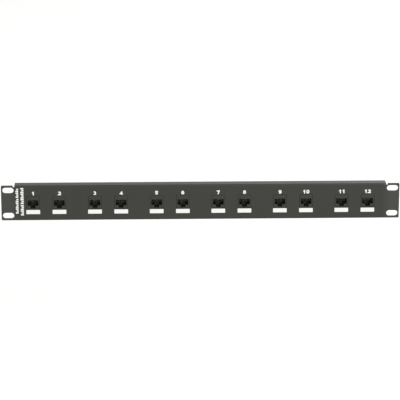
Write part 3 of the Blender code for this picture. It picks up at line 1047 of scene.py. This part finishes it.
def clips_mesh(tin):
    """Forked metal clips that cut through a wire's insulation, two blades in each gap."""
    outer, inner = CLIP_TIP_EDGES
    prong = [
        (CLIP_HALF_WIDTH, CLIP_ROOT),
        (CLIP_HALF_WIDTH, CLIP_TIP - CLIP_SHOULDER),
        (CLIP_HALF_WIDTH - outer, CLIP_TIP),
        (CLIP_HALF_WIDTH - inner, CLIP_TIP),
        (CLIP_HALF_SLOT, CLIP_TIP - CLIP_MOUTH),
        (CLIP_HALF_SLOT, CLIP_ROOT + CLIP_BRIDGE),
    ]
    fork = prong + [(-x, y) for x, y in reversed(prong)]
    bm = bmesh.new()
    for clip_x in clip_xs():
        outline = [(clip_x + x, y) for x, y in fork]
        for z in CLIP_ROWS:
            add_plan_prism(bm, outline, z - CLIP_THICKNESS / 2, z + CLIP_THICKNESS / 2)
    return mesh_from(bm, "block_clips", (tin,))


def screw_mesh(zinc):
    """A pan-head screw about the Y axis with a cross recess; its seat is at the origin."""
    bm = bmesh.new()
    add_turned(bm, (0, 0), SCREW_PROFILE, SCREW_SIDES)
    bars = []
    for width, height in ((RECESS_LENGTH, RECESS_WIDTH), (RECESS_WIDTH, RECESS_LENGTH)):
        outline = rounded_rectangle((0, 0), width, height, RECESS_RADIUS, 3)
        bar = bmesh.new()
        add_prism(bar, outline, SCREW_HEAD_HEIGHT - RECESS_DEPTH, SCREW_HEAD_HEIGHT + OVERCUT)
        bars.append(mesh_from(bar, "recess"))
    mesh = combined(mesh_from(bm, "screw"), bars, "DIFFERENCE")
    return smooth(recoloured(mesh, zinc), TURNED_CREASE)


def make_screws(zinc):
    mesh = screw_mesh(zinc)
    for number in range(1, PORT_COUNT + 1):
        node = f"board_screw_{number:02d}"
        low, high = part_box(node)
        middle = (low + high) / 2
        seat = high.y - SCREW_HEAD_HEIGHT
        screw = new_object(f"screw_{number:02d}", mesh, (middle.x, seat, middle.z))
        finish_piece(screw, PANEL, "screw_zinc", node)


def make_modules(materials):
    """The boards, punch-down blocks and wiring strips, and the fine pieces on them."""
    board = board_mesh(materials["mask"], materials["laminate"])
    block = rounded_copy(node_mesh("punch_block_1"), "punch_block", BLOCK_ROUNDING, (materials["ivory"],))
    strip = rounded_copy(node_mesh("wiring_strip_1"), "wiring_strip", STRIP_ROUNDING, (materials["film"],))
    for mesh in (board, block, strip):
        mesh.transform(Matrix.Translation((-module_x(1), 0, 0)))
    carried = (
        ("board", board, "circuit_board", "circuit_board"),
        ("block", block, "block_plastic", "punch_block"),
        ("strip", strip, "strip_plastic", "wiring_strip"),
    )
    details = (
        ("board_tracks", tracks_mesh(materials["copper"]), "circuit_board"),
        ("solder_joints", joints_mesh(materials["tin"]), "screw_zinc"),
        ("board_marks", marks_mesh(materials["board_ink"]), "circuit_board"),
        ("block_clips", clips_mesh(materials["tin"]), "screw_zinc"),
    )
    for module in range(1, MODULE_COUNT + 1):
        place = (module_x(module), 0, 0)
        for name, mesh, slot_name, node in carried:
            piece = weighted(new_object(f"{name}_{module}", mesh, place))
            finish_piece(piece, PANEL, slot_name, f"{node}_{module}")
        for name, mesh, slot_name in details:
            finish_piece(new_object(f"{name}_{module}", mesh, place), PANEL, slot_name)


# ---------------------------------------------------------------- stage, light and camera


def make_stage():
    bm = bmesh.new()
    bmesh.ops.create_grid(bm, x_segments=1, y_segments=1, size=FLOOR_SIZE / 2)
    floor = new_object("floor", mesh_from(bm, "floor", (studio_floor("studio_floor"),)))
    floor.location.z = panel_low.z - FLOOR_DROP


def make_lights():
    world = bpy.data.worlds.new("studio")
    world.use_nodes = True
    background = world.node_tree.nodes["Background"]
    background.inputs["Color"].default_value = (*SKY_COLOUR, 1.0)
    background.inputs["Strength"].default_value = SKY_STRENGTH
    bpy.context.scene.world = world
    for name, (place, size, watts) in LAMPS.items():
        light = bpy.data.lights.new(name, "AREA")
        light.shape = "RECTANGLE"
        light.size, light.size_y = size
        light.energy = watts
        lamp = new_object(name, light, place)
        lamp.rotation_euler = (-Vector(place)).to_track_quat("-Z", "Y").to_euler()


def make_camera():
    data = bpy.data.cameras.new("camera")
    data.sensor_width = SENSOR_WIDTH
    data.lens = LENS
    data.clip_start = CAMERA_NEAR
    data.clip_end = CAMERA_FAR
    away = Vector(
        (
            math.sin(CAMERA_AZIMUTH) * math.cos(CAMERA_ELEVATION),
            -math.cos(CAMERA_AZIMUTH) * math.cos(CAMERA_ELEVATION),
            math.sin(CAMERA_ELEVATION),
        )
    )
    camera = new_object("camera", data, CAMERA_TARGET + away * CAMERA_DISTANCE)
    camera.rotation_euler = (-away).to_track_quat("-Z", "Y").to_euler()
    bpy.context.scene.camera = camera


def main():
    bpy.context.scene.view_settings.view_transform = "Standard"
    materials = make_materials()
    make_panel(materials["coat"], materials["coat_edge_highlight"])
    make_posts(materials["zinc"])
    make_labels(materials["ink"])
    make_numerals(materials["ink"])
    make_side_print(materials["ink"])
    make_jacks(materials)
    make_screws(materials["zinc"])
    make_modules(materials)
    make_stage()
    make_lights()
    make_camera()


main()
